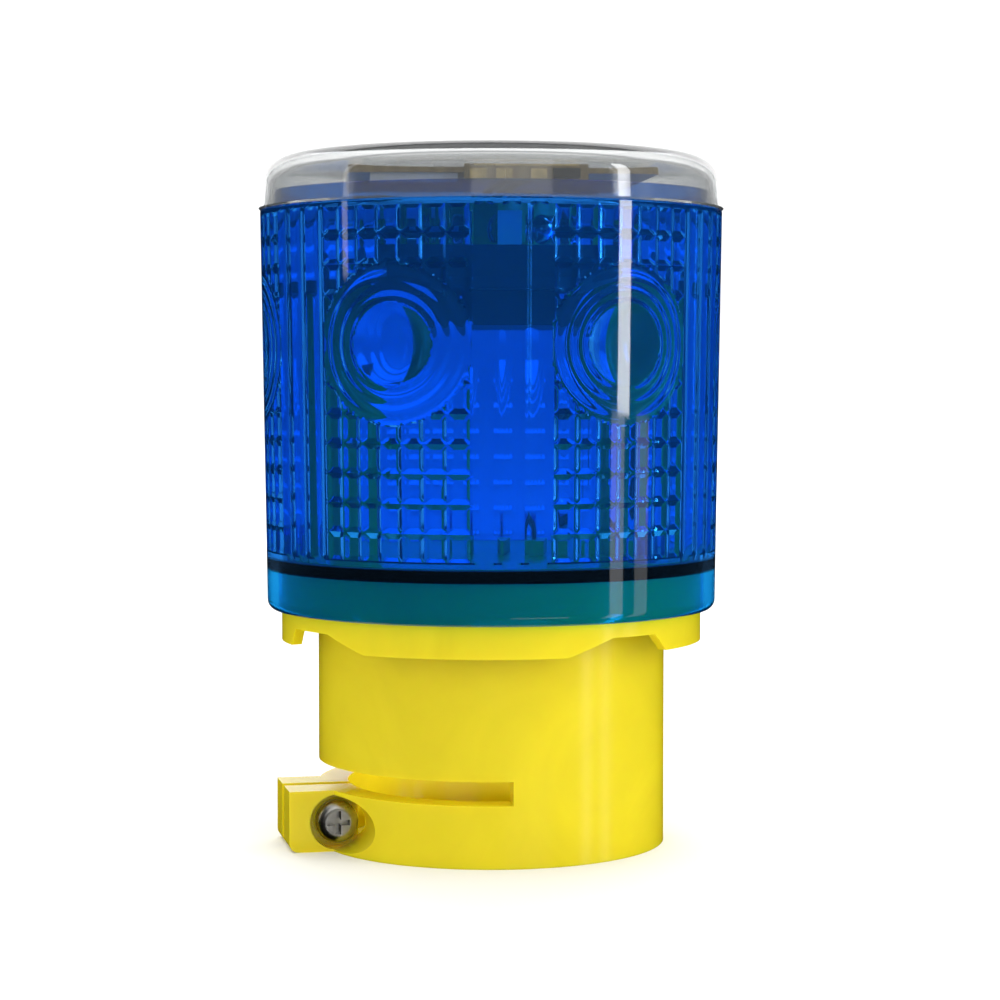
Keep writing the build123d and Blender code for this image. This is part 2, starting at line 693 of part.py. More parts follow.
def panel_wire(side):
    """A lead from the charge board over the LED holder's wall to the control board."""
    x = PANEL_WIRE_X + side * PANEL_WIRE_SPREAD
    end_x = side * PANEL_WIRE_END_X
    start_z = PANEL_Z - PANEL_WIRE_DROP
    points = [
        (x, -PANEL_SIZE / 2, start_z),
        (end_x, PANEL_WIRE_END_Y, PANEL_WIRE_END_Z),
        (end_x, PANEL_WIRE_END_Y, BOARD_TOP_Z),
    ]
    return wire(points, [WIRE_TIGHT_BEND])


def switch_wire(side):
    """A lead from the switch up into the tray, beside the right-hand post."""
    x, y = around(90 + INNER_TURN, WIRE_HOLE_RADIUS)
    exit_y = side * SWITCH_LEAD_Y
    points = [
        (SWITCH_X, exit_y, SWITCH_TOP_Z),
        (SWITCH_X, exit_y, SWITCH_TOP_Z + SWITCH_WIRE_RISE),
        (x, y + side, SWITCH_TOP_Z + SWITCH_WIRE_TURN),
        (x, y + side, DECK_Z + SWITCH_WIRE_END),
    ]
    return wire(points, [WIRE_NARROW_BEND, WIRE_BEND])


def battery_wire(side):
    """A lead from the tray through the cover and over the LED holder to the control board."""
    x = COVER_HOLE_X
    y = COVER_HOLE_Y + side * BATTERY_WIRE_SPREAD
    end_y = y - BATTERY_WIRE_END_Y
    points = [
        (x, y, BOX_TOP_Z - BATTERY_WIRE_DEPTH),
        (x, y, BATTERY_WIRE_RISE_Z),
        (BATTERY_WIRE_OVER_X, y - BATTERY_WIRE_OVER_Y, BATTERY_WIRE_OVER_Z),
        (BATTERY_WIRE_END_X, end_y, BATTERY_WIRE_OVER_Z),
        (BATTERY_WIRE_END_X, end_y, BOARD_TOP_Z),
    ]
    return inner(wire(points, [WIRE_BEND, WIRE_BEND, WIRE_TIGHT_BEND]))


def switch_body():
    body = block(SWITCH_SIZE, SWITCH_SIZE, ROOF_Z, SWITCH_TOP_Z, x=SWITCH_X)
    return body - rod(BUTTON_R + CLEAR, ROOF_Z - 1, BUTTON_BORE_TOP_Z, SWITCH_X, 0)


def switch_retainer():
    plate = block(RETAINER_WIDTH, RETAINER_LENGTH, ROOF_Z - RETAINER_T, ROOF_Z, x=SWITCH_X)
    plate = fillet(plate.edges().filter_by(Axis.Z), RETAINER_CORNER_R)
    plate -= rod(BUTTON_R + 4 * CLEAR, ROOF_Z - 2, ROOF_Z + 1, SWITCH_X, 0)
    for side in (-1, 1):
        plate -= rod(RETAINER_HOLE_R, ROOF_Z - 2, ROOF_Z + 1, SWITCH_X, side * RETAINER_SCREW_Y)
    return plate


def retainer_screws():
    screw = pan_screw(RETAINER_HEAD_R, RETAINER_HEAD_H, RETAINER_SHANK_R, RETAINER_SHANK_LENGTH)
    seated = [Pos(SWITCH_X, side * RETAINER_SCREW_Y, ROOF_Z - RETAINER_T) * Rot(180, 0, 0) * screw
              for side in (-1, 1)]
    return group(seated)


def switch_button():
    button = rod(BUTTON_R, BUTTON_TIP_Z, BUTTON_TOP_Z, SWITCH_X, 0)
    return fillet(button.edges().sort_by(Axis.Z)[0], BUTTON_ROUND_R)


def clamp_screw():
    head_top = SEAT_Y - WASHER_T - HEAD_H
    screw = pan_screw(HEAD_R, HEAD_H, THREAD_R, SHANK_LENGTH)
    overlap = THREAD_PITCH / 2
    points = [(0, overlap - SHANK_LENGTH), (THREAD_R, overlap - SHANK_LENGTH)]
    turns = int((SCREW_LENGTH - SHANK_LENGTH - TIP_LENGTH) / THREAD_PITCH)
    for turn in range(turns):
        z = -SHANK_LENGTH - turn * THREAD_PITCH
        points += [(THREAD_R, z), (THREAD_R - THREAD_DEPTH, z - THREAD_PITCH / 2)]
    thread_end = -SHANK_LENGTH - turns * THREAD_PITCH
    points += [(THREAD_R, thread_end), (THREAD_R - TIP_CHAMFER, -SCREW_LENGTH), (0, -SCREW_LENGTH)]
    screw += turned(points)
    return Pos(SCREW_X, head_top + HEAD_H, SCREW_Z) * Rot(90, 0, 0) * screw


def screw_washer():
    washer = ring(WASHER_R, NUT_BORE_R + CLEAR, 0, WASHER_T)
    return Pos(SCREW_X, SEAT_Y, SCREW_Z) * Rot(90, 0, 0) * washer


def clamp_nut():
    nut = extrude(RegularPolygon(NUT_FLAT, 6, major_radius=False, rotation=NUT_TURN), NUT_T)
    wide = NUT_FLAT * NUT_CONE_SHARE
    cone = Cone(wide, NUT_FLAT, NUT_CHAMFER, align=(Align.CENTER, Align.CENTER, Align.MAX))
    nut &= rod(wide, -CLEAR, NUT_T - NUT_CHAMFER) + Pos(0, 0, NUT_T) * cone
    nut -= Cylinder(NUT_BORE_R, 4 * NUT_T)
    return Pos(SCREW_X, NUT_FLOOR_Y, SCREW_Z) * Rot(-90, 0, 0) * nut


SUB_PARTS = {
    "base_socket": base_socket,
    "lens": lens,
    "top_cap": top_cap,
    "seal_ring": seal_ring,
    "lens_screws": lens_screws,
    "battery_tray": battery_tray,
    "tray_screws": tray_screws,
    "battery_cells": battery_cells,
    "cell_contacts": cell_contacts,
    "cell_springs": cell_springs,
    "battery_cover": battery_cover,
    "led_holder": led_holder,
    "leds": leds,
    "led_leads": led_leads,
    "circuit_board": circuit_board,
    "control_chip": control_chip,
    "charging_coil": charging_coil,
    "board_resistors": board_resistors,
    "wire_connector": wire_connector,
    "solar_board": solar_board,
    "solar_strips": solar_strips,
    "panel_adhesive": panel_adhesive,
    "foam_strips": foam_strips,
    "charge_board": charge_board,
    "charge_terminals": charge_terminals,
    "charge_diode": charge_diode,
    "panel_wire_red": lambda: inner(panel_wire(-1)),
    "panel_wire_black": lambda: inner(panel_wire(1)),
    "switch_wire_red": lambda: switch_wire(-1),
    "switch_wire_black": lambda: switch_wire(1),
    "battery_wire_red": lambda: battery_wire(-1),
    "battery_wire_black": lambda: battery_wire(1),
    "switch_body": switch_body,
    "switch_retainer": switch_retainer,
    "retainer_screws": retainer_screws,
    "switch_button": switch_button,
    "clamp_screw": clamp_screw,
    "screw_washer": screw_washer,
    "clamp_nut": clamp_nut,
}


os.makedirs("parts", exist_ok=True)
for name, make in SUB_PARTS.items():
    export_step(make(), f"parts/{name}.step")
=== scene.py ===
import json
import math

import bmesh
import bpy
from mathutils import Matrix, Vector


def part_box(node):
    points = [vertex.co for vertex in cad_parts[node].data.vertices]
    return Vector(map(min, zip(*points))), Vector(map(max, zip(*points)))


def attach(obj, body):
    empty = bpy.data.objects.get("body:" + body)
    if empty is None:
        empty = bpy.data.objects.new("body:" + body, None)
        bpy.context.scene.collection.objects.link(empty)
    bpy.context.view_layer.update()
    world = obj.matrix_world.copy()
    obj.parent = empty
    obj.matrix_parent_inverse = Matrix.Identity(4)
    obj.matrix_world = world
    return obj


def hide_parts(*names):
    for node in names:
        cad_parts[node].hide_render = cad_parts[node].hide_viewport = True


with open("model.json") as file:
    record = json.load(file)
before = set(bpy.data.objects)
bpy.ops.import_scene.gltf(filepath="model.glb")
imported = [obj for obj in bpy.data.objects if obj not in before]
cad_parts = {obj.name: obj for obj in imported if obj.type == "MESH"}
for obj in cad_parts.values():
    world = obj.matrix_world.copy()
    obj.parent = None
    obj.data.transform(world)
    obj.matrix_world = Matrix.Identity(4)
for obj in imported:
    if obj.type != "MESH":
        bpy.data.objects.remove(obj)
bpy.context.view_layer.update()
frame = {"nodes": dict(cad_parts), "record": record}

# Every length is in metres; MM turns millimetres into metres. Tints and colours are linear red, green, blue.
MM = 0.001
TINY = 1e-7

# The lens's pattern and the cells are turned this far about the axis
TURN = math.radians(-7.0)

# Lens: outer shell, the number of columns round it, and the angle past which an edge is sharp
LENS_COLUMNS = 756
LENS_CREASE = 25
LENS_TOP_R = 40.0 * MM
LENS_LOW_R = 38.75 * MM
LENS_LOW_Z = 40.4 * MM
LENS_TOP_Z = 108.7 * MM
LENS_EDGE_R = 1.6 * MM
LENS_EDGE_STEPS = 6
EDGE_HOLD = 0.3 * MM
WALL_LEAN = 0.015
RIM_CHAMFER = 0.25 * MM
SKIRT_INNER_R = 36.85 * MM
LEDGE_Z = 49.4 * MM
SPIGOT_R = 37.4 * MM
SPIGOT_INNER_R = 36.2 * MM
SPIGOT_Z = 111.5 * MM
SPIGOT_STEP = 0.1 * MM
INNER_LOW_R = 36.2 * MM
INNER_TOP_R = 37.3 * MM

# Lens: a band of painted shade where the wall meets the seal, standing in for the light that the joint traps,
# and the paler tint of the thin wall below it
JOINT_Z = 47.4 * MM
JOINT_PAINTED_SHADE = (0.012, 0.03, 0.06)
FOOT_TINT = (0.008, 0.29, 0.72)

# Lens: pattern on the inner wall
PANELS = 6
PANEL_COLUMNS = 7
PANEL_ANGLE = math.radians(40.0)
FLUTE_COUNT = 3
FLUTE_DEPTH = 0.45 * MM
PATTERN_Z = 50.4 * MM
ROW_PITCH = 4.8 * MM
ROWS = 12
ROW_STEPS = 16
COLUMN_BEVEL = 3 / 12
ROW_BEVEL = 3 / ROW_STEPS
GROOVE_DEPTH = 0.62 * MM
EYE_Z = 85.5 * MM
EYE_R = 13.0 * MM
EYE_RINGS = [12.1 * MM, 9.7 * MM, 7.7 * MM]
EYE_RING_HALF = 0.95 * MM
EYE_RING_RISE = 0.26 * MM
EYE_FLOOR = 0.3 * MM
EYE_CORE_R = 6.8 * MM
EYE_DOME = 1.7 * MM

# Lens screw bosses
BOSS_ANGLES = [-90.0, 37.0, 143.0]
BOSS_RADIUS = 32.2 * MM
BOSS_R = 2.5 * MM
BOSS_Z0 = 49.7 * MM
BOSS_Z1 = 55.0 * MM
BOSS_TAPER = 0.94
BOSS_EDGE = 0.3 * MM
BOSS_EDGE_STEPS = 3
BOSS_SEGMENTS = 48
BOSS_CREASE = 40

# Clear cap
CAP_TOP_Z = 118.0 * MM
CAP_WALL = 2.0 * MM
CAP_SHOULDER_R = 5.0 * MM
CAP_LEAN = 0.45 * MM
CAP_LIP_R = 0.35 * MM
CAP_DROP = 0.1 * MM
CAP_CROWN = 0.03 * MM
CAP_SWEEP = 88
CAP_OUTER_STEPS = 20
CAP_INNER_STEPS = 12

# Wound springs at one end of each cell
CELL_X = 5.3 * MM
SPRING_R = 2.6 * MM
SPRING_TAPER = 0.6 * MM
SPRING_WIRE_R = 0.28 * MM
SPRING_WIRE_STEPS = 4
SPRING_TURNS = 3
SPRING_STEPS = 32
SPRING_WALL = 22.85 * MM
SPRING_LENGTH = 0.4 * MM

# Camera: distance and height of the lens above the socket's open face
CAMERA_DISTANCE = 437.2 * MM
CAMERA_HEIGHT = 80.45 * MM
CAMERA_AZIMUTH = math.radians(-12.0)
CAMERA_YAW = math.radians(-0.2)
CAMERA_PITCH = math.radians(-2.82)
CAMERA_LENS = 90.7
CAMERA_SENSOR = 36.0
CAMERA_NEAR = 0.01

# Stage: a floor that curves up into a backdrop
STAGE_FRONT = -2.0
STAGE_DEPTH = 1.4
STAGE_CURVE_R = 0.5
STAGE_STEPS = 16
STAGE_HALF_WIDTH = 4.0
STAGE_HEIGHT = 2.4
STAGE_PAPER = (0.93, 0.93, 0.93, 1.0)
STAGE_ROUGH = 0.8

# Even light from everywhere, then each soft box: its name, its azimuth in degrees from the camera's side
# towards the camera's right, its distance and height, its width and height, its power in watts, the point
# that it faces, and whether glossy surfaces show it
WORLD_LIGHT = 0.95
SOFT_BOXES = [
    ("strip_right", 67, 0.9, 0.32, (0.11, 0.56), 2.5, (0, 0, 0.32), True),
    ("strip_right_low", 64, 0.9, -0.20, (0.12, 0.48), 0.38, (0, 0, -0.20), True),
    ("strip_right_faint", 79, 0.9, -0.20, (0.13, 0.48), 0.24, (0, 0, -0.20), True),
    ("strip_left", -74, 0.9, 0.36, (0.05, 0.5), 0.25, (0, 0, 0.36), True),
    ("rim_card", 180, 1.3, 0.86, (1.8, 1.4), 13.0, (0, 0, 0.3), True),
    ("screw_card", 24, 0.5, -0.105, (0.25, 0.08), 0.09, (0, 0, 0.005), True),
    ("front_soft", 10, 1.2, 0.62, (0.9, 0.9), 2.8, (0, 0, 0.06), True),
    ("top_soft", 0, 0.2, 1.2, (1.6, 1.6), 5.0, (0, 0, 0.06), True),
    ("backdrop_wash", 180, 0.7, 0.3, (1.2, 0.8), 3.9, (0.0, 1.6, 0.5), False),
    ("socket_fill", 0, 0.0, 0.002, (0.03, 0.03), 0.012, (0, 0, 0.06), False),
]

# Plastics: how much taller the moulding's waves are than its grain, how light spreads under the surface, and
# how far a clear plastic's roughness and tint vary
WAVE_TO_GRAIN = 6.0
PLASTIC_IOR = 1.5
CLEAR_IOR = 1.49
EPOXY_IOR = 1.53
GLOW_REACH = (1.0, 0.6, 0.1)
GLOW_DEPTH = 2.0 * MM
CLEAR_SMOOTHEST = 0.4
CLEAR_ROUGHEST = 1.8
CLEAR_DARKEST = 0.95

# Heights of the fine relief on each kind of surface
GRAIN_RELIEF = 0.04 * MM
SCRATCH_RELIEF = 0.03 * MM
FLOW_RELIEF = 0.12 * MM
CLOTH_RELIEF = 0.02 * MM
TRACK_RELIEF = 0.03 * MM


# ---------- mesh helpers ----------

def new_piece(name, shape, body, slot, replaces=None):
    """Links a mesh or curve as a piece of the object, rides it on a body and gives it its slot's finish."""
    piece = bpy.data.objects.new(name, shape)
    bpy.context.scene.collection.objects.link(piece)
    shape.materials.append(MATERIALS[slot])
    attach(piece, body)
    if replaces:
        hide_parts(replaces)


def mesh_from(name, points, faces):
    mesh = bpy.data.meshes.new(name)
    mesh.from_pydata(points, [], faces)
    mesh.validate()
    mesh.update()
    return mesh


def shade(mesh, crease):
    """Smooth shading with sharp edges where two faces meet at more than the crease angle."""
    mesh.shade_smooth()
    mesh.set_sharp_from_angle(angle=math.radians(crease))


def polar(angle, radius, z):
    """A point at an angle from the -Y side towards +X."""
    return (radius * math.sin(angle), -radius * math.cos(angle), z)


def ring_mesh(name, radius_at, levels, columns, crease):
    """A closed shell of revolution: radius_at(level, angle) gives each point's radius, levels the heights."""
    points = []
    for index, z in enumerate(levels):
        for column in range(columns):
            angle = 2 * math.pi * column / columns
            points.append(polar(angle, radius_at(index, angle), z))
    faces = []
    for index in range(len(levels)):
        low = index * columns
        high = (index + 1) % len(levels) * columns
        for column in range(columns):
            after = (column + 1) % columns
            faces.append((low + column, low + after, high + after, high + column))
    mesh = mesh_from(name, points, faces)
    shade(mesh, crease)
    return mesh


def lathe(name, outline, columns=256, crease=35):
    """A solid of revolution from a closed loop of (radius, height) points, one vertex per axis point."""
    points = []
    rows = []
    for radius, z in outline:
        if radius < TINY:
            rows.append([len(points)] * columns)
            points.append((0, 0, z))
            continue
        rows.append(list(range(len(points), len(points) + columns)))
        points += [polar(2 * math.pi * c / columns, radius, z) for c in range(columns)]
    faces = []
    for low, high in zip(rows, rows[1:]):
        for c in range(columns):
            corner = (c + 1) % columns
            face = [low[c], low[corner], high[corner], high[c]]
            unique = list(dict.fromkeys(face))
            if len(unique) > 2:
                faces.append(unique)
    mesh = mesh_from(name, points, faces)
    shade(mesh, crease)
    return mesh


def arc(centre_r, centre_z, radius, start, end, steps):
    """(radius, height) points along an arc in a lathe outline, angles in degrees from the +radius side."""
    points = []
    for step in range(steps + 1):
        angle = math.radians(start + (end - start) * step / steps)
        points.append((centre_r + radius * math.cos(angle), centre_z + radius * math.sin(angle)))
    return points


# ---------- node helpers ----------

def fresh_material(name):
    """A material with only its output and Principled nodes, and a maker for more nodes."""
    material = bpy.data.materials.new(name)
    material.use_nodes = True
    nodes = material.node_tree.nodes
    links = material.node_tree.links
    shader = nodes["Principled BSDF"]

    def add(kind, inputs=None, **settings):
        node = nodes.new(kind)
        for key, value in settings.items():
            setattr(node, key, value)
        for key, value in (inputs or {}).items():
            if isinstance(value, bpy.types.NodeSocket):
                links.new(value, node.inputs[key])
            else:
                node.inputs[key].default_value = value
        return node

    return material, shader, add, links


def ramp(add, source, stops):
    """Colours a 0 to 1 value from (place, colour) stops."""
    node = add("ShaderNodeValToRGB", {"Fac": source})
    elements = node.color_ramp.elements
    while len(elements) < len(stops):
        elements.new(0.5)
    for element, (place, colour) in zip(elements, stops):
        element.position = place
        element.color = (*colour, 1.0)
    return node.outputs["Color"]


def span(add, source, low, high):
    """Maps a 0 to 1 value to a range."""
    return add("ShaderNodeMapRange", {"Value": source, "To Min": low, "To Max": high}).outputs["Result"]


def moulded(name, colour, rough, grain=9000.0, bump=0.06, mottle=0.06, scuff=0.08, subsurface=0.0):
    """Moulded plastic: fine grain, slight flow mottling and handling scuffs in the gloss."""
    material, shader, add, links = fresh_material(name)
    where = add("ShaderNodeTexCoord").outputs["Object"]
    flow = add("ShaderNodeTexNoise", {"Vector": where, "Scale": 45.0, "Detail": 4.0, "Distortion": 1.2})
    dark = tuple(c * (1 - mottle) for c in colour)
    light = tuple(min(1.0, c * (1 + mottle)) for c in colour)
    links.new(ramp(add, flow.outputs["Fac"], [(0.3, dark), (0.7, light)]), shader.inputs["Base Color"])
    scuffs = add("ShaderNodeTexNoise", {"Vector": where, "Scale": 220.0, "Detail": 6.0, "Roughness": 0.7})
    links.new(span(add, scuffs.outputs["Fac"], rough - scuff, rough + scuff), shader.inputs["Roughness"])
    fine = add("ShaderNodeTexNoise", {"Vector": where, "Scale": grain, "Detail": 2.0})
    wave = add("ShaderNodeTexNoise", {"Vector": where, "Scale": 60.0, "Detail": 1.0})
    tall = add("ShaderNodeMath", {0: wave.outputs["Fac"], 1: WAVE_TO_GRAIN}, operation="MULTIPLY")
    height = add("ShaderNodeMath", {0: tall.outputs[0], 1: fine.outputs["Fac"]}, operation="ADD")
    relief = add("ShaderNodeBump", {"Height": height.outputs[0], "Strength": bump, "Distance": GRAIN_RELIEF})
    links.new(relief.outputs["Normal"], shader.inputs["Normal"])
    shader.inputs["IOR"].default_value = PLASTIC_IOR
    if subsurface:
        shader.inputs["Subsurface Weight"].default_value = subsurface
        shader.inputs["Subsurface Radius"].default_value = GLOW_REACH
        shader.inputs["Subsurface Scale"].default_value = GLOW_DEPTH
    return material


def metal(name, colour, rough, grain=(2500.0, 2500.0, 200.0), bump=0.12, dull=0.72, polish=0.12, wear=0.16):
    """Plated metal: directional fine scratches, cloudy plating and a slightly uneven gloss."""
    material, shader, add, links = fresh_material(name)
    where = add("ShaderNodeTexCoord").outputs["Object"]
    stretched = add("ShaderNodeMapping", {"Vector": where, "Scale": grain})
    scratch = add("ShaderNodeTexNoise", {"Vector": stretched.outputs["Vector"], "Scale": 1.0, "Detail": 5.0})
    cloud = add("ShaderNodeTexNoise", {"Vector": where, "Scale": 600.0, "Detail": 4.0})
    dark = tuple(c * dull for c in colour)
    links.new(ramp(add, cloud.outputs["Fac"], [(0.35, dark), (0.62, colour)]), shader.inputs["Base Color"])
    links.new(span(add, scratch.outputs["Fac"], rough - polish, rough + wear), shader.inputs["Roughness"])
    relief = add("ShaderNodeBump", {"Height": scratch.outputs["Fac"], "Strength": bump,
                                    "Distance": SCRATCH_RELIEF})
    links.new(relief.outputs["Normal"], shader.inputs["Normal"])
    shader.inputs["Metallic"].default_value = 1.0
    return material


def clear_moulding(name, tint, passing, rough, ior, haze_share=0.0, zones=()):
    """See-through moulding. Lamps shine through it as through a tinted pane, so what is inside is lit.
    Each zone is a height and the tint below it, from the top down."""
    material, shader, add, links = fresh_material(name)
    where = add("ShaderNodeTexCoord").outputs["Object"]
    haze = add("ShaderNodeTexNoise", {"Vector": where, "Scale": 160.0, "Detail": 6.0, "Roughness": 0.65})
    links.new(span(add, haze.outputs["Fac"], rough * CLEAR_SMOOTHEST, rough * CLEAR_ROUGHEST),
              shader.inputs["Roughness"])
    flow = add("ShaderNodeTexNoise", {"Vector": where, "Scale": 70.0, "Detail": 2.0})
    relief = add("ShaderNodeBump", {"Height": flow.outputs["Fac"], "Strength": 0.12, "Distance": FLOW_RELIEF})
    links.new(relief.outputs["Normal"], shader.inputs["Normal"])
    dark = tuple(c * CLEAR_DARKEST for c in tint)
    colour = ramp(add, flow.outputs["Fac"], [(0.3, dark), (0.7, tint)])
    for top, tone in zones:
        height = add("ShaderNodeSeparateXYZ", {"Vector": where}).outputs["Z"]
        above = add("ShaderNodeMath", {0: height, 1: top}, operation="GREATER_THAN")
        colour = add("ShaderNodeMix", {0: above.outputs[0], 6: (*tone, 1.0), 7: colour},
                     data_type="RGBA").outputs[2]
    links.new(colour, shader.inputs["Base Color"])
    shader.inputs["IOR"].default_value = ior
    shader.inputs["Transmission Weight"].default_value = 1.0 - haze_share
    pane = add("ShaderNodeBsdfTransparent", {"Color": (*passing, 1.0)})
    path = add("ShaderNodeLightPath")
    mix = add("ShaderNodeMixShader", {0: path.outputs["Is Shadow Ray"]})
    links.new(shader.outputs["BSDF"], mix.inputs[1])
    links.new(pane.outputs["BSDF"], mix.inputs[2])
    output = material.node_tree.nodes["Material Output"]
    links.new(mix.outputs["Shader"], output.inputs["Surface"])
    return material


# ---------- materials ----------

def yellow_plastic():
    return moulded("yellow_plastic", (0.70, 0.575, 0.013), 0.2, scuff=0.05, subsurface=0.5)


def blue_lens():
    """Blue acrylic, with a band of painted shade where it meets the seal, and paler in the thin wall below.
    """
    return clear_moulding("blue_lens", (0.014, 0.203, 0.73), (0.22, 0.97, 0.98), 0.035, CLEAR_IOR,
                          haze_share=0.06, zones=[(LEDGE_Z, JOINT_PAINTED_SHADE), (JOINT_Z, FOOT_TINT)])


def clear_plastic():
    return clear_moulding("clear_plastic", (0.47, 0.48, 0.48), (0.85, 0.87, 0.90), 0.06, CLEAR_IOR,
                          haze_share=0.07)


def black_rubber():
    return moulded("black_rubber", (0.014, 0.014, 0.016), 0.62, grain=5000.0, bump=0.2, mottle=0.2)


def black_plastic():
    return moulded("black_plastic", (0.012, 0.012, 0.014), 0.46, grain=6000.0, bump=0.15, mottle=0.15)


def button_plastic():
    return moulded("button_plastic", (0.03, 0.03, 0.034), 0.3, bump=0.08, mottle=0.15)


def white_plastic():
    return moulded("white_plastic", (0.86, 0.86, 0.83), 0.3, mottle=0.03, subsurface=0.2)


def white_foam():
    return moulded("white_foam", (0.9, 0.9, 0.88), 0.85, grain=2600.0, bump=0.6, mottle=0.05)


def silicone():
    return moulded("silicone", (0.8, 0.82, 0.82), 0.35, bump=0.2, mottle=0.05, subsurface=0.3)


def cell_wrap():
    return moulded("cell_wrap", (0.03, 0.16, 0.07), 0.28, mottle=0.08)


def chip_black():
    return moulded("chip_black", (0.02, 0.02, 0.021), 0.55, grain=12000.0, bump=0.15)


def ferrite():
    return moulded("ferrite", (0.05, 0.05, 0.055), 0.6, grain=9000.0, bump=0.3)


def red_wire():
    return moulded("red_wire", (0.5, 0.012, 0.01), 0.4, mottle=0.08)


def black_wire():
    return moulded("black_wire", (0.015, 0.015, 0.016), 0.4, mottle=0.1)


def zinc_steel():
    return metal("zinc_steel", (0.55, 0.54, 0.5), 0.3)


def nickel_plate():
    return metal("nickel_plate", (0.66, 0.63, 0.57), 0.28)


def tinned_wire():
    return metal("tinned_wire", (0.72, 0.72, 0.7), 0.3)


def brass():
    return metal("brass", (0.78, 0.58, 0.22), 0.3)


def led_epoxy():
    return clear_moulding("led_epoxy", (0.93, 0.95, 0.98), (0.95, 0.96, 0.98), 0.03, EPOXY_IOR)


def fibreglass():
    """Bare laminate: a fine woven cloth under amber resin."""
    material, shader, add, links = fresh_material("fibreglass")
    where = add("ShaderNodeTexCoord").outputs["Object"]
    warp = add("ShaderNodeTexWave", {"Vector": where, "Scale": 900.0, "Distortion": 1.0}, bands_direction="X")
    weft = add("ShaderNodeTexWave", {"Vector": where, "Scale": 900.0, "Distortion": 1.0}, bands_direction="Y")
    cloth = add("ShaderNodeMath", {0: warp.outputs["Fac"], 1: weft.outputs["Fac"]}, operation="MULTIPLY")
    links.new(ramp(add, cloth.outputs[0], [(0.0, (0.33, 0.22, 0.08)), (0.9, (0.52, 0.38, 0.16))]),
              shader.inputs["Base Color"])
    links.new(span(add, cloth.outputs[0], 0.28, 0.42), shader.inputs["Roughness"])
    relief = add("ShaderNodeBump", {"Height": cloth.outputs[0], "Strength": 0.1, "Distance": CLOTH_RELIEF})
    links.new(relief.outputs["Normal"], shader.inputs["Normal"])
    return material


def solder_mask():
    """Green board lacquer over faint copper tracks."""
    material, shader, add, links = fresh_material("solder_mask")
    where = add("ShaderNodeTexCoord").outputs["Object"]
    tracks = add("ShaderNodeTexVoronoi", {"Vector": where, "Scale": 450.0}, distance="CHEBYCHEV")
    links.new(ramp(add, tracks.outputs["Distance"], [(0.42, (0.01, 0.09, 0.03)), (0.5, (0.03, 0.2, 0.07))]),
              shader.inputs["Base Color"])
    links.new(span(add, tracks.outputs["Distance"], 0.22, 0.34), shader.inputs["Roughness"])
    relief = add("ShaderNodeBump", {"Height": tracks.outputs["Distance"], "Strength": 0.1,
                                    "Distance": TRACK_RELIEF})
    links.new(relief.outputs["Normal"], shader.inputs["Normal"])
    return material


def silicon():
    """Solar cell: near-black blue with fine silver fingers across each strip."""
    material, shader, add, links = fresh_material("silicon")
    where = add("ShaderNodeTexCoord").outputs["Object"]
    turned = add("ShaderNodeMapping", {"Vector": where, "Rotation": (0, 0, -TURN)})
    fingers = add("ShaderNodeTexWave", {"Vector": turned.outputs["Vector"], "Scale": 130.0},
                  bands_direction="Y")
    line = ramp(add, fingers.outputs["Fac"], [(0.93, (0.0, 0.0, 0.0)), (0.96, (1.0, 1.0, 1.0))])
    grain = add("ShaderNodeTexVoronoi", {"Vector": where, "Scale": 260.0})
    body = ramp(add, grain.outputs["Color"], [(0.2, (0.006, 0.010, 0.035)), (0.8, (0.012, 0.022, 0.075))])
    colour = add("ShaderNodeMix", {0: line, 6: body, 7: (0.5, 0.5, 0.52, 1.0)}, data_type="RGBA")
    links.new(colour.outputs[2], shader.inputs["Base Color"])
    links.new(span(add, line, 0.16, 0.4), shader.inputs["Roughness"])
    relief = add("ShaderNodeBump", {"Height": line, "Strength": 0.2, "Distance": TRACK_RELIEF})
    links.new(relief.outputs["Normal"], shader.inputs["Normal"])
    shader.inputs["Coat Weight"].default_value = 0.6
    return material


MATERIALS = {make.__name__: make() for make in (
    yellow_plastic, blue_lens, clear_plastic, black_rubber, black_plastic, button_plastic, white_plastic,
    white_foam, silicone, cell_wrap, chip_black, ferrite, red_wire, black_wire, zinc_steel, nickel_plate,
    tinned_wire, brass, led_epoxy, fibreglass, solder_mask, silicon)}


def dress_cad_nodes():
    """Each CAD node that stays visible gets the procedural material of its own slot."""
    slots = {part["node"]: part["material_slot"] for part in frame["record"]["subparts"]}
    for name, node in frame["nodes"].items():
        node.data.materials.clear()
        node.data.materials.append(MATERIALS[slots[name]])


# ---------- the lens ----------

def groove(share, bevel):
    """How deep a V groove is at a place across one cell, 0 to 1."""
    edge = min(share, 1 - share)
    return max(0.0, 1 - edge / bevel)


def eye_depth(distance):
    """The bull's-eye's relief at a distance from its centre, as a depth cut into the wall."""
    for ridge in EYE_RINGS:
        off = abs(distance - ridge) / EYE_RING_HALF
        if off < 1:
            return EYE_FLOOR - EYE_RING_RISE * (0.5 + 0.5 * math.cos(math.pi * off))
    if distance < EYE_CORE_R:
        return EYE_FLOOR - EYE_DOME * (1 - (distance / EYE_CORE_R) ** 2)
    return EYE_FLOOR


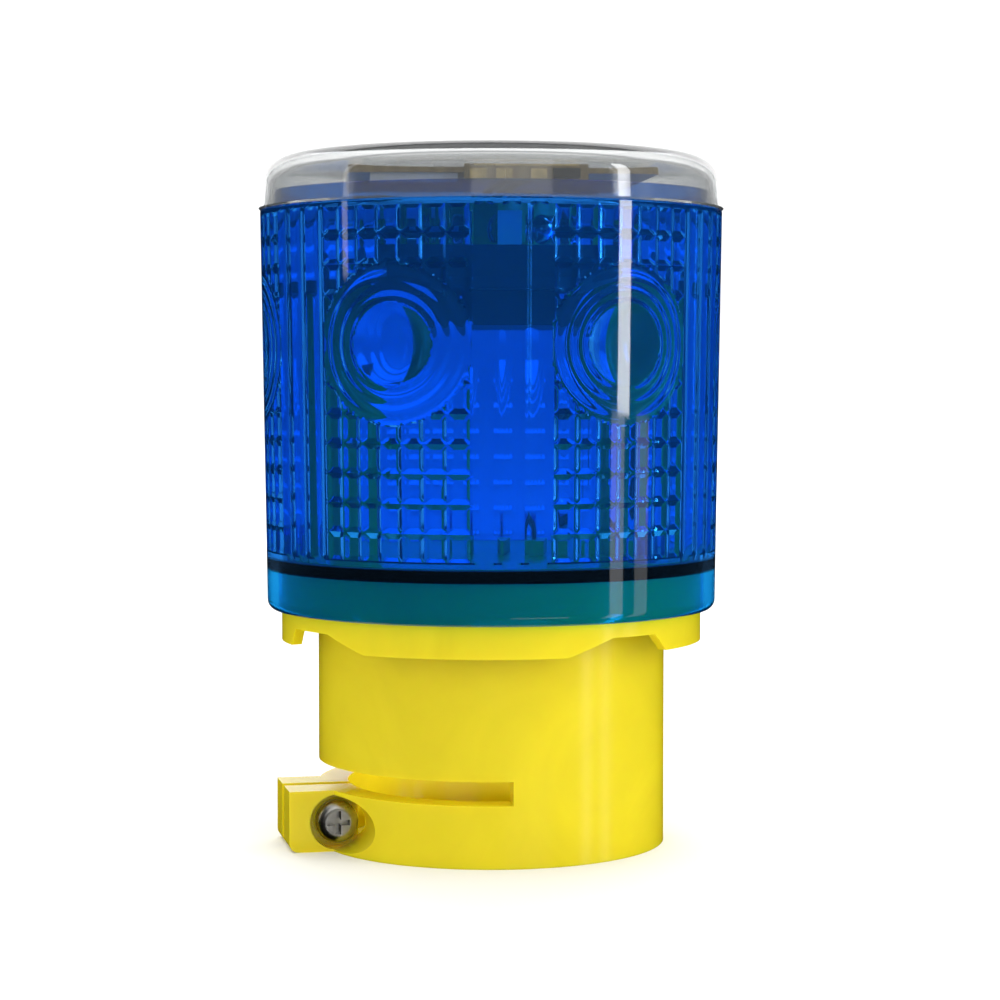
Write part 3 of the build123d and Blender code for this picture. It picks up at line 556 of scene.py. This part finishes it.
def relief_depth(angle, z):
    """How far the inner wall is cut back at an angle (in the lens's own turn) and height."""
    pitch = 2 * math.pi / PANELS
    local = (angle - TURN) % pitch
    flute_span = pitch - PANEL_ANGLE
    start = flute_span / 2
    if start <= local <= start + PANEL_ANGLE:
        across = (local - start) / PANEL_ANGLE
        width = INNER_LOW_R * PANEL_ANGLE
        distance = math.hypot((across - 0.5) * width, z - EYE_Z)
        if distance <= EYE_R:
            return eye_depth(distance)
        column = across * PANEL_COLUMNS % 1.0
        row = (z - PATTERN_Z) / ROW_PITCH % 1.0
        return GROOVE_DEPTH * max(groove(column, COLUMN_BEVEL), groove(row, ROW_BEVEL))
    across = (local - start - PANEL_ANGLE) % pitch / flute_span
    flute = across * FLUTE_COUNT % 1.0
    return FLUTE_DEPTH * (2 * flute - 1) ** 2


def make_lens():
    """The whole lens moulding as one closed shell with its pattern cut into the inner wall."""
    rows = ROWS * ROW_STEPS
    outline = [(SKIRT_INNER_R, LENS_LOW_Z)]
    edge_z = LENS_LOW_Z + LENS_EDGE_R
    outline += arc(LENS_LOW_R - LENS_EDGE_R, edge_z, LENS_EDGE_R, -90, 0, LENS_EDGE_STEPS)
    outline.append((LENS_LOW_R + WALL_LEAN * EDGE_HOLD, edge_z + EDGE_HOLD))
    outline.append((LENS_TOP_R - RIM_CHAMFER, LENS_TOP_Z - RIM_CHAMFER))
    outline.append((LENS_TOP_R - 2 * RIM_CHAMFER, LENS_TOP_Z))
    outline += [(SPIGOT_R, LENS_TOP_Z), (SPIGOT_R, SPIGOT_Z), (SPIGOT_INNER_R, SPIGOT_Z)]
    outline.append((SPIGOT_INNER_R, LENS_TOP_Z - SPIGOT_STEP))
    flat = len(outline)
    heights = [PATTERN_Z + ROW_PITCH * ROWS * step / rows for step in range(rows, -1, -1)]
    levels = [z for _, z in outline] + heights + [LEDGE_Z, LEDGE_Z]
    after = [INNER_LOW_R, SKIRT_INNER_R]
    last = flat + len(heights) - 1

    def radius_at(index, angle):
        """The outline's radius, then the patterned inner wall's, then the ledge's."""
        if index < flat:
            return outline[index][0]
        if index > last:
            return after[index - last - 1]
        z = levels[index]
        share = (z - LEDGE_Z) / (LENS_TOP_Z - LEDGE_Z)
        wall = INNER_LOW_R + (INNER_TOP_R - INNER_LOW_R) * share
        if index in (flat, last):
            return wall
        return wall + relief_depth(angle, z)

    mesh = ring_mesh("lens_shell", radius_at, levels, LENS_COLUMNS, LENS_CREASE)
    build = bmesh.new()
    build.from_mesh(mesh)
    bmesh.ops.recalc_face_normals(build, faces=build.faces)
    build.to_mesh(mesh)
    build.free()
    new_piece("lens_shell", mesh, "housing", "blue_lens", "lens")


def make_lens_bosses():
    """The three blue bosses that the lens screws bite into."""
    build = bmesh.new()
    for degrees in BOSS_ANGLES:
        angle = math.radians(degrees)
        x, y, _ = polar(angle, BOSS_RADIUS, 0)
        place = Matrix.Translation((x, y, (BOSS_Z0 + BOSS_Z1) / 2))
        bmesh.ops.create_cone(build, cap_ends=True, segments=BOSS_SEGMENTS, radius1=BOSS_R,
                              radius2=BOSS_R * BOSS_TAPER, depth=BOSS_Z1 - BOSS_Z0, matrix=place)
    rims = [edge for edge in build.edges if abs(edge.verts[0].co.z - edge.verts[1].co.z) < TINY]
    bmesh.ops.bevel(build, geom=rims, offset=BOSS_EDGE, segments=BOSS_EDGE_STEPS, affect="EDGES")
    mesh = bpy.data.meshes.new("lens_bosses")
    build.to_mesh(mesh)
    build.free()
    shade(mesh, BOSS_CREASE)
    new_piece("lens_bosses", mesh, "housing", "blue_lens")


def make_cap():
    """The clear cap: a straight skirt over the lens's spigot, a rounded shoulder and a nearly flat top."""
    side = LENS_TOP_R
    centre_r = side - CAP_LEAN - CAP_SHOULDER_R
    centre_z = CAP_TOP_Z - CAP_DROP - CAP_SHOULDER_R
    ceiling = CAP_TOP_Z - CAP_WALL
    outline = [(side - CAP_WALL, LENS_TOP_Z), (side - CAP_LIP_R, LENS_TOP_Z), (side, LENS_TOP_Z + CAP_LIP_R)]
    outline += arc(centre_r, centre_z, CAP_SHOULDER_R, 0, CAP_SWEEP, CAP_OUTER_STEPS)
    outline += [(centre_r / 2, CAP_TOP_Z - CAP_CROWN), (0, CAP_TOP_Z)]
    outline += [(0, ceiling), (centre_r / 2, ceiling - CAP_CROWN)]
    outline += reversed(arc(centre_r, centre_z - CAP_DROP, CAP_SHOULDER_R - CAP_WALL, 0, CAP_SWEEP,
                            CAP_INNER_STEPS))
    mesh = lathe("cap_shell", outline + outline[:1])
    new_piece("cap_shell", mesh, "housing", "clear_plastic", "top_cap")


def make_springs():
    """The two wound cell springs, in place of the CAD rings."""
    low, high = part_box("cell_springs")
    middle_z = (low[2] + high[2]) / 2
    for number, side in enumerate((-1, 1)):
        curve = bpy.data.curves.new(f"cell_spring_{number + 1}", "CURVE")
        curve.dimensions = "3D"
        curve.bevel_depth = SPRING_WIRE_R
        curve.bevel_resolution = SPRING_WIRE_STEPS
        count = SPRING_TURNS * SPRING_STEPS + 1
        spline = curve.splines.new("POLY")
        spline.points.add(count - 1)
        for step in range(count):
            share = step / (count - 1)
            swing = 2 * math.pi * SPRING_TURNS * share
            radius = SPRING_R - SPRING_TAPER * share
            along = SPRING_WALL - share * SPRING_LENGTH
            x = side * CELL_X + radius * math.cos(swing)
            z = middle_z + radius * math.sin(swing)
            place = Matrix.Rotation(TURN, 3, "Z") @ Vector((x, -side * along, z))
            spline.points[step].co = (*place, 1.0)
        new_piece(curve.name, curve, "housing", "nickel_plate", "cell_springs" if number == 0 else None)


# ---------- stage, light and camera ----------

def make_stage():
    """A pale floor that curves up into a backdrop."""
    line = [(STAGE_FRONT, 0.0)]
    for step in range(STAGE_STEPS + 1):
        angle = math.pi / 2 * step / STAGE_STEPS
        rise = STAGE_CURVE_R * (1 - math.cos(angle))
        line.append((STAGE_DEPTH + STAGE_CURVE_R * math.sin(angle), rise))
    line.append((STAGE_DEPTH + STAGE_CURVE_R, STAGE_HEIGHT))
    points = [(x, y, z) for y, z in line for x in (-STAGE_HALF_WIDTH, STAGE_HALF_WIDTH)]
    faces = [(2 * i, 2 * i + 1, 2 * i + 3, 2 * i + 2) for i in range(len(line) - 1)]
    mesh = mesh_from("studio_floor", points, faces)
    mesh.shade_smooth()
    floor = bpy.data.objects.new("studio_floor", mesh)
    bpy.context.scene.collection.objects.link(floor)
    floor.rotation_euler.z = CAMERA_AZIMUTH
    floor.visible_glossy = False
    material, shader, _, _ = fresh_material("studio_paper")
    shader.inputs["Base Color"].default_value = STAGE_PAPER
    shader.inputs["Roughness"].default_value = STAGE_ROUGH
    mesh.materials.append(material)


def soft_box(name, azimuth, distance, height, size, power, target, shows):
    """A rectangular light that faces its target and that the camera doesn't see."""
    light = bpy.data.lights.new(name, "AREA")
    light.shape = "RECTANGLE"
    light.size, light.size_y = size
    light.energy = power
    lamp = bpy.data.objects.new(name, light)
    bpy.context.scene.collection.objects.link(lamp)
    lamp.location = polar(math.radians(azimuth) + CAMERA_AZIMUTH, distance, height)
    lamp.rotation_euler = (Vector(target) - lamp.location).to_track_quat("-Z", "Y").to_euler()
    lamp.visible_camera = False
    lamp.visible_glossy = shows


def make_lights():
    """Even light from all round, which gloss doesn't show, and the soft boxes."""
    world = bpy.data.worlds.new("studio")
    bpy.context.scene.world = world
    world.use_nodes = True
    background = world.node_tree.nodes["Background"]
    background.inputs["Color"].default_value = (1.0, 1.0, 1.0, 1.0)
    background.inputs["Strength"].default_value = WORLD_LIGHT
    world.cycles_visibility.glossy = False
    for box in SOFT_BOXES:
        soft_box(*box)
    bpy.context.scene.view_settings.view_transform = "Standard"


def make_camera():
    """The camera at the photographed angle, a little above the middle of the lamp."""
    camera = bpy.data.cameras.new("camera")
    camera.lens = CAMERA_LENS
    camera.sensor_width = CAMERA_SENSOR
    camera.clip_start = CAMERA_NEAR
    holder = bpy.data.objects.new("camera", camera)
    bpy.context.scene.collection.objects.link(holder)
    holder.location = polar(CAMERA_AZIMUTH, CAMERA_DISTANCE, CAMERA_HEIGHT)
    holder.rotation_euler = (math.pi / 2 + CAMERA_PITCH, 0, CAMERA_AZIMUTH + CAMERA_YAW)
    bpy.context.scene.camera = holder


dress_cad_nodes()
make_lens()
make_lens_bosses()
make_cap()
make_springs()
make_stage()
make_lights()
make_camera()
